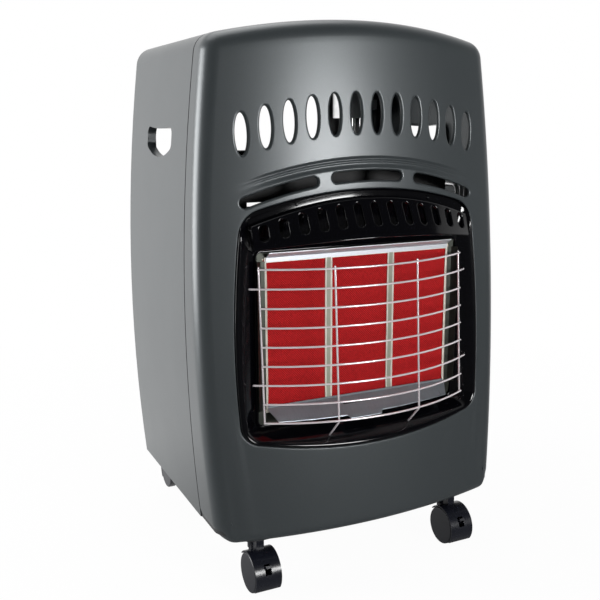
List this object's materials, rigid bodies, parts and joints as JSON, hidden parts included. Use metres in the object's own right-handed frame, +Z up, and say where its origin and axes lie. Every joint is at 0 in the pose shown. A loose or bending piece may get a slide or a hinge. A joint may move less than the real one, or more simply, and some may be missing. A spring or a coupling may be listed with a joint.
{
  "type": "portable gas cabinet heater",
  "caption": "Portable gas cabinet heater: barrel-sided charcoal steel cabinet with air slots, red ceramic plaques behind a wire guard and black visor, rear bottle bay, swivel casters.",
  "frame": {"origin": "centre of the footprint at floor level, under the middle of the bounding box", "axes": "+Z up, front of the heater towards -Y, heater's own right side (seen from the front) towards +X"},
  "size_m": [0.457, 0.4596, 0.741],
  "materials": {
    "cabinet_paint": "satin",
    "black_enamel": "gloss",
    "guard_chrome": "polished",
    "plaque_ceramic": "matte",
    "ceramic_fibre": "matte",
    "aluminised_steel": "satin",
    "polished_steel": "polished",
    "tray_paint": "satin",
    "brass": "satin",
    "aluminium_tube": "satin",
    "black_plastic": "matte",
    "red_plastic": "gloss",
    "white_ceramic": "gloss",
    "zinc_steel": "satin",
    "caster_housing": "gloss",
    "caster_wheel": "satin"
  },
  "bodies": {
    "cabinet": {"base_tray": "tray_paint", "burner_box": "aluminised_steel", "burner_guard": "guard_chrome", "burner_mount_plate": "aluminised_steel", "burner_surround": "black_enamel", "casing": "cabinet_paint", "caster_front_left_stem": "zinc_steel", "caster_front_right_stem": "zinc_steel", "caster_rear_left_stem": "zinc_steel", "caster_rear_right_stem": "zinc_steel", "control_plate": "tray_paint", "deflector_tray": "polished_steel", "feed_tube_centre": "aluminium_tube", "feed_tube_left": "aluminium_tube", "feed_tube_right": "aluminium_tube", "front_panel": "cabinet_paint", "gas_valve": "aluminium_tube", "heat_shield": "aluminised_steel", "igniter_body": "black_plastic", "igniter_nut": "black_plastic", "injector_centre": "brass", "injector_left": "brass", "injector_rail": "aluminised_steel", "injector_right": "brass", "pilot_bracket": "aluminised_steel", "pilot_burner": "brass", "plaque_centre": "plaque_ceramic", "plaque_frame": "aluminised_steel", "plaque_gasket": "ceramic_fibre", "plaque_left": "plaque_ceramic", "plaque_right": "plaque_ceramic", "plate_screws": "zinc_steel", "side_reflector_left": "polished_steel", "side_reflector_right": "polished_steel", "spark_electrode": "white_ceramic", "thermocouple": "zinc_steel", "tilt_switch": "black_plastic", "top_reflector": "polished_steel", "tray_screws": "zinc_steel", "visor": "black_enamel", "visor_screws": "zinc_steel"},
    "swivel_front_left": {"caster_front_left_housing": "caster_housing"},
    "wheel_front_left_left": {"caster_front_left_wheel_left": "caster_wheel"},
    "wheel_front_left_right": {"caster_front_left_wheel_right": "caster_wheel"},
    "lock_front_left": {"caster_front_left_lock": "black_plastic"},
    "swivel_front_right": {"caster_front_right_housing": "caster_housing"},
    "wheel_front_right_left": {"caster_front_right_wheel_left": "caster_wheel"},
    "wheel_front_right_right": {"caster_front_right_wheel_right": "caster_wheel"},
    "lock_front_right": {"caster_front_right_lock": "black_plastic"},
    "swivel_rear_left": {"caster_rear_left_housing": "caster_housing"},
    "wheel_rear_left_left": {"caster_rear_left_wheel_left": "caster_wheel"},
    "wheel_rear_left_right": {"caster_rear_left_wheel_right": "caster_wheel"},
    "swivel_rear_right": {"caster_rear_right_housing": "caster_housing"},
    "wheel_rear_right_left": {"caster_rear_right_wheel_left": "caster_wheel"},
    "wheel_rear_right_right": {"caster_rear_right_wheel_right": "caster_wheel"},
    "valve_spindle": {"valve_stem": "brass"},
    "knob": {"control_knob": "black_plastic"},
    "igniter_push": {"igniter_button": "red_plastic"},
    "rear_door": {"rear_cover": "cabinet_paint"}
  },
  "joints": [
    {"name": "swivel_front_left", "type": "hinge", "parent": "cabinet", "child": "swivel_front_left", "pos_m": [-0.154, -0.152, 0.06], "axis": [0, 0, 1], "continuous": true},
    {"name": "roll_front_left_left", "type": "hinge", "parent": "swivel_front_left", "child": "wheel_front_left_left", "pos_m": [-0.154, -0.1725, 0.027], "axis": [1, 0, 0], "continuous": true},
    {"name": "roll_front_left_right", "type": "hinge", "parent": "swivel_front_left", "child": "wheel_front_left_right", "pos_m": [-0.154, -0.1725, 0.027], "axis": [1, 0, 0], "continuous": true},
    {"name": "lock_front_left", "type": "hinge", "parent": "swivel_front_left", "child": "lock_front_left", "pos_m": [-0.154, -0.18861, 0.03707], "axis": [1, 0, 0], "range_deg": [0, 18]},
    {"name": "swivel_front_right", "type": "hinge", "parent": "cabinet", "child": "swivel_front_right", "pos_m": [0.154, -0.152, 0.06], "axis": [0, 0, 1], "continuous": true},
    {"name": "roll_front_right_left", "type": "hinge", "parent": "swivel_front_right", "child": "wheel_front_right_left", "pos_m": [0.154, -0.1725, 0.027], "axis": [1, 0, 0], "continuous": true},
    {"name": "roll_front_right_right", "type": "hinge", "parent": "swivel_front_right", "child": "wheel_front_right_right", "pos_m": [0.154, -0.1725, 0.027], "axis": [1, 0, 0], "continuous": true},
    {"name": "lock_front_right", "type": "hinge", "parent": "swivel_front_right", "child": "lock_front_right", "pos_m": [0.154, -0.18861, 0.03707], "axis": [1, 0, 0], "range_deg": [0, 18]},
    {"name": "swivel_rear_left", "type": "hinge", "parent": "cabinet", "child": "swivel_rear_left", "pos_m": [-0.154, 0.18, 0.06], "axis": [0, 0, 1], "continuous": true},
    {"name": "roll_rear_left_left", "type": "hinge", "parent": "swivel_rear_left", "child": "wheel_rear_left_left", "pos_m": [-0.154, 0.2005, 0.027], "axis": [1, 0, 0], "continuous": true},
    {"name": "roll_rear_left_right", "type": "hinge", "parent": "swivel_rear_left", "child": "wheel_rear_left_right", "pos_m": [-0.154, 0.2005, 0.027], "axis": [1, 0, 0], "continuous": true},
    {"name": "swivel_rear_right", "type": "hinge", "parent": "cabinet", "child": "swivel_rear_right", "pos_m": [0.154, 0.18, 0.06], "axis": [0, 0, 1], "continuous": true},
    {"name": "roll_rear_right_left", "type": "hinge", "parent": "swivel_rear_right", "child": "wheel_rear_right_left", "pos_m": [0.154, 0.2005, 0.027], "axis": [1, 0, 0], "continuous": true},
    {"name": "roll_rear_right_right", "type": "hinge", "parent": "swivel_rear_right", "child": "wheel_rear_right_right", "pos_m": [0.154, 0.2005, 0.027], "axis": [1, 0, 0], "continuous": true},
    {"name": "valve_push", "type": "slide", "parent": "cabinet", "child": "valve_spindle", "axis": [0, -1, 0], "range_m": [0, 0.004], "stiffness_N_per_m": 600, "springref_m": -0.002},
    {"name": "knob_turn", "type": "hinge", "parent": "valve_spindle", "child": "knob", "pos_m": [0.142, 0.176, 0.642], "axis": [0, 1, 0], "range_deg": [0, 210]},
    {"name": "igniter_press", "type": "slide", "parent": "cabinet", "child": "igniter_push", "axis": [0, -1, 0], "range_m": [0, 0.006], "stiffness_N_per_m": 600, "springref_m": -0.002},
    {"name": "door_lift", "type": "slide", "parent": "cabinet", "child": "rear_door", "axis": [0, 0, 1], "range_m": [0, 0.03]}
  ]
}
